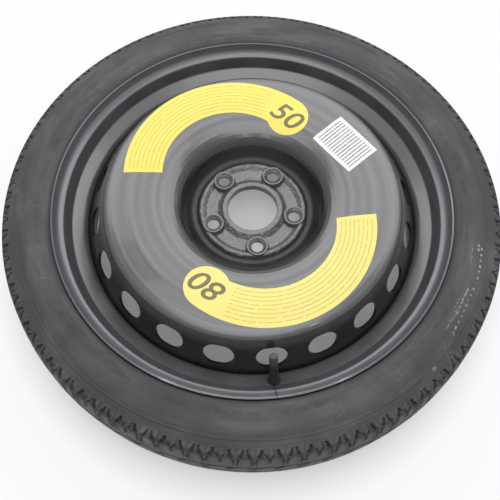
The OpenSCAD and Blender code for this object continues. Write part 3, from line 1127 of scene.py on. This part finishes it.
@dataclass
class Dressing:
    """The finishes of the steel and the valve, by node; radii are in metres."""

    finishes: tuple[tuple[str, Union[BlackPaint, WeldPaint, Plain]], ...] = (
        ("disc", BlackPaint(
            "disc_paint", (0.022, 0.022, 0.024), hub_radius=0.072,
            press_lines=(0.112, 0.122, 0.150, 0.173), soft_rings=(0.117, 0.130, 0.143, 0.161, 0.181),
        )),
        ("rim", BlackPaint(
            "rim_paint", (0.062, 0.062, 0.065), 0.28, 0.25,
            highlight_ring=(0.2405, 0.2468), seam_turn=math.radians(-82.3),
        )),
        ("disc_weld", WeldPaint()),
        ("valve_rubber", Plain("valve_black", (0.012, 0.012, 0.013), 0.58, grain=1500.0)),
        ("valve_stem", Plain("brass", (0.6, 0.44, 0.19), 0.3, 1.0, 1800.0, 0.00001)),
        ("valve_core_barrel", Plain("core_brass", (0.62, 0.47, 0.22), 0.28, 1.0, 2200.0, 0.00001)),
        ("valve_core_gasket", Plain("core_gasket", (0.62, 0.61, 0.57), 0.5)),
        ("valve_pin", Plain("pin_brass", (0.66, 0.52, 0.26), 0.24, 1.0, 2200.0, 0.00001)),
        ("valve_pin_seal", Plain("sealing_ring", (0.02, 0.02, 0.02), 0.55)),
        ("valve_spring", Plain("spring_steel", (0.5, 0.5, 0.52), 0.3, 1.0, 2500.0, 0.00001)),
        ("valve_cap", Plain("cap_plastic", (0.06, 0.06, 0.06), 0.45, grain=1300.0)),
    )

    def build(self) -> None:
        """Dresses the nodes."""
        for node, finish in self.finishes:
            dress(node, finish.make())


# Studio


@dataclass(frozen=True)
class Lamp:
    """An oblong lamp: its direction in degrees, its distance, width and height in metres and its power in watts."""

    name: str
    azimuth: float
    elevation: float
    distance: float
    width: float
    height: float
    power: float


@dataclass
class Studio:
    """The camera with its right, up and back axes, the lamps, the world and the floor, in metres."""

    lens: float = 48.894
    camera_at: Triple = (0.0, -0.414409, 0.769491)
    camera_axes: tuple[Triple, ...] = (
        (0.99956, 0.027555, 0.010975),
        (-0.029611, 0.905775, 0.422723),
        (0.001707, -0.422862, 0.906193),
    )
    lamps: tuple[Lamp, ...] = (
        Lamp("wide_box", 82.0, 50.5, 2.2, 4.4, 1.55, 48.6),
        Lamp("top_box", 270.0, 86.0, 2.0, 1.1, 1.5, 12.0),
        Lamp("window_a", 228.0, 60.0, 2.4, 0.13, 0.22, 1.5),
        Lamp("window_b", 253.0, 58.0, 2.4, 0.13, 0.22, 1.7),
        Lamp("window_c", 283.0, 58.0, 2.4, 0.13, 0.22, 1.7),
        Lamp("window_d", 320.0, 60.0, 2.4, 0.13, 0.22, 1.5),
    )
    lamp_colour: Colour = (0.97, 0.967, 1.0)
    room_colour: Colour = (0.93, 0.95, 1.0)
    room_light: float = 0.42
    floor_half: float = 4.0
    floor_gap: float = 0.0002

    @staticmethod
    def stand(piece: bpy.types.Object, at: Vector, axes: Sequence[Sequence[float]]) -> None:
        """Places a piece of the studio with its own X, Y and Z along three axes."""
        piece.matrix_world = Matrix.Translation(at) @ Matrix(axes).transposed().to_4x4()

    def camera(self) -> None:
        """Puts the camera where the photograph was taken from."""
        data = bpy.data.cameras.new("camera")
        data.sensor_width, data.lens = 36.0, self.lens
        data.clip_start, data.clip_end = 0.01, 50.0
        eye = placed("camera", data)
        self.stand(eye, Vector(self.camera_at), self.camera_axes)
        bpy.context.scene.camera = eye

    def softbox(self, lamp: Lamp) -> None:
        """Adds an oblong lamp that faces the wheel."""
        data = bpy.data.lights.new(lamp.name, "AREA")
        data.shape, data.size, data.size_y = "RECTANGLE", lamp.width, lamp.height
        data.energy, data.color = lamp.power, self.lamp_colour
        a, e = math.radians(lamp.azimuth), math.radians(lamp.elevation)
        way = Vector((math.cos(a) * math.cos(e), math.sin(a) * math.cos(e), math.sin(e)))
        side = Vector((-math.sin(a), math.cos(a), 0.0))
        self.stand(placed(lamp.name, data), way * lamp.distance, (side, way.cross(side), way))

    def world(self) -> None:
        """A soft grey room whose background shows white."""
        world = bpy.data.worlds.new("room")
        bpy.context.scene.world = world
        graph = Graph(world)
        room, white = (
            graph.node("ShaderNodeBackground", inputs={"Color": (*colour, 1.0), "Strength": strength})
            for colour, strength in ((self.room_colour, self.room_light), ((1.0, 1.0, 1.0), 1.0))
        )
        graph.node("ShaderNodeOutputWorld", inputs={"Surface": graph.mix(graph.seen(), room, white)})

    def floor(self, level: float) -> None:
        """A pale floor at a level in metres that keeps the wheel's shadow; seen, it glows almost white away from the
        wheel and a little under it, most beneath the bore, a painted light in the shadow there.
        """
        graph = Graph.named("studio_floor")
        radius = graph.axis("radius")
        base = graph.blend(graph.noise(3.0, 3.0), (0.78, 0.78, 0.785), (0.84, 0.84, 0.845))
        lit = graph.node("ShaderNodeBsdfDiffuse", inputs={"Color": base})
        glow = graph.node("ShaderNodeEmission", inputs={"Color": (1.0, 1.0, 1.0, 1.0), "Strength": 1.0})
        # the glow's share: painted light in the wheel's shadow, more beneath the bore, and almost white further out
        white = 0.16 + 0.2 * (1.0 - radius.step(0.05, 0.1)) + 0.68 * radius.step(0.28, 0.36)
        material = graph.close(graph.mix(graph.seen() * white, lit, glow))
        shape = bmesh.new()
        bmesh.ops.create_grid(shape, x_segments=8, y_segments=8, size=self.floor_half)
        bmesh.ops.translate(shape, vec=(0.0, 0.0, level), verts=shape.verts[:])
        ground = meshed(shape, "floor", material)

    def build(self) -> None:
        """Builds the studio."""
        bpy.context.scene.view_settings.view_transform = "Standard"
        self.camera()
        self.world()
        self.floor(CAD_BOX[0].z - self.floor_gap)
        for lamp in self.lamps:
            self.softbox(lamp)


SCUFFS = (
    Scuff(0.2849, -23.5, 12.0, 0.0011, 1.0, 230.0),
    Scuff(0.2788, -27.5, 4.2, 0.0008, 0.9),
    Scuff(0.2807, -12.0, 1.0, 0.0013, 1.0),
    Scuff(0.2862, -35.3, 0.7, 0.0016, 1.0),
    Scuff(0.2952, -45.1, 0.5, 0.0017, 1.0),
    Scuff(0.2735, -14.5, 2.2, 0.0009, 0.35),
    Scuff(0.2768, -33.0, 3.0, 0.0007, 0.4),
    Scuff(0.2745, -29.0, 2.2, 0.0008, 0.4, 300.0),
)


def main() -> None:
    """Builds the studio and the wheel, and reports each piece."""
    logging.basicConfig(level=logging.INFO, format="%(name)s: %(message)s")
    Studio().build()
    Tyre().build(Rubber(scuffs=SCUFFS).make())
    Dressing().build()
    LabelFace().build()


if __name__ == "__main__":
    main()
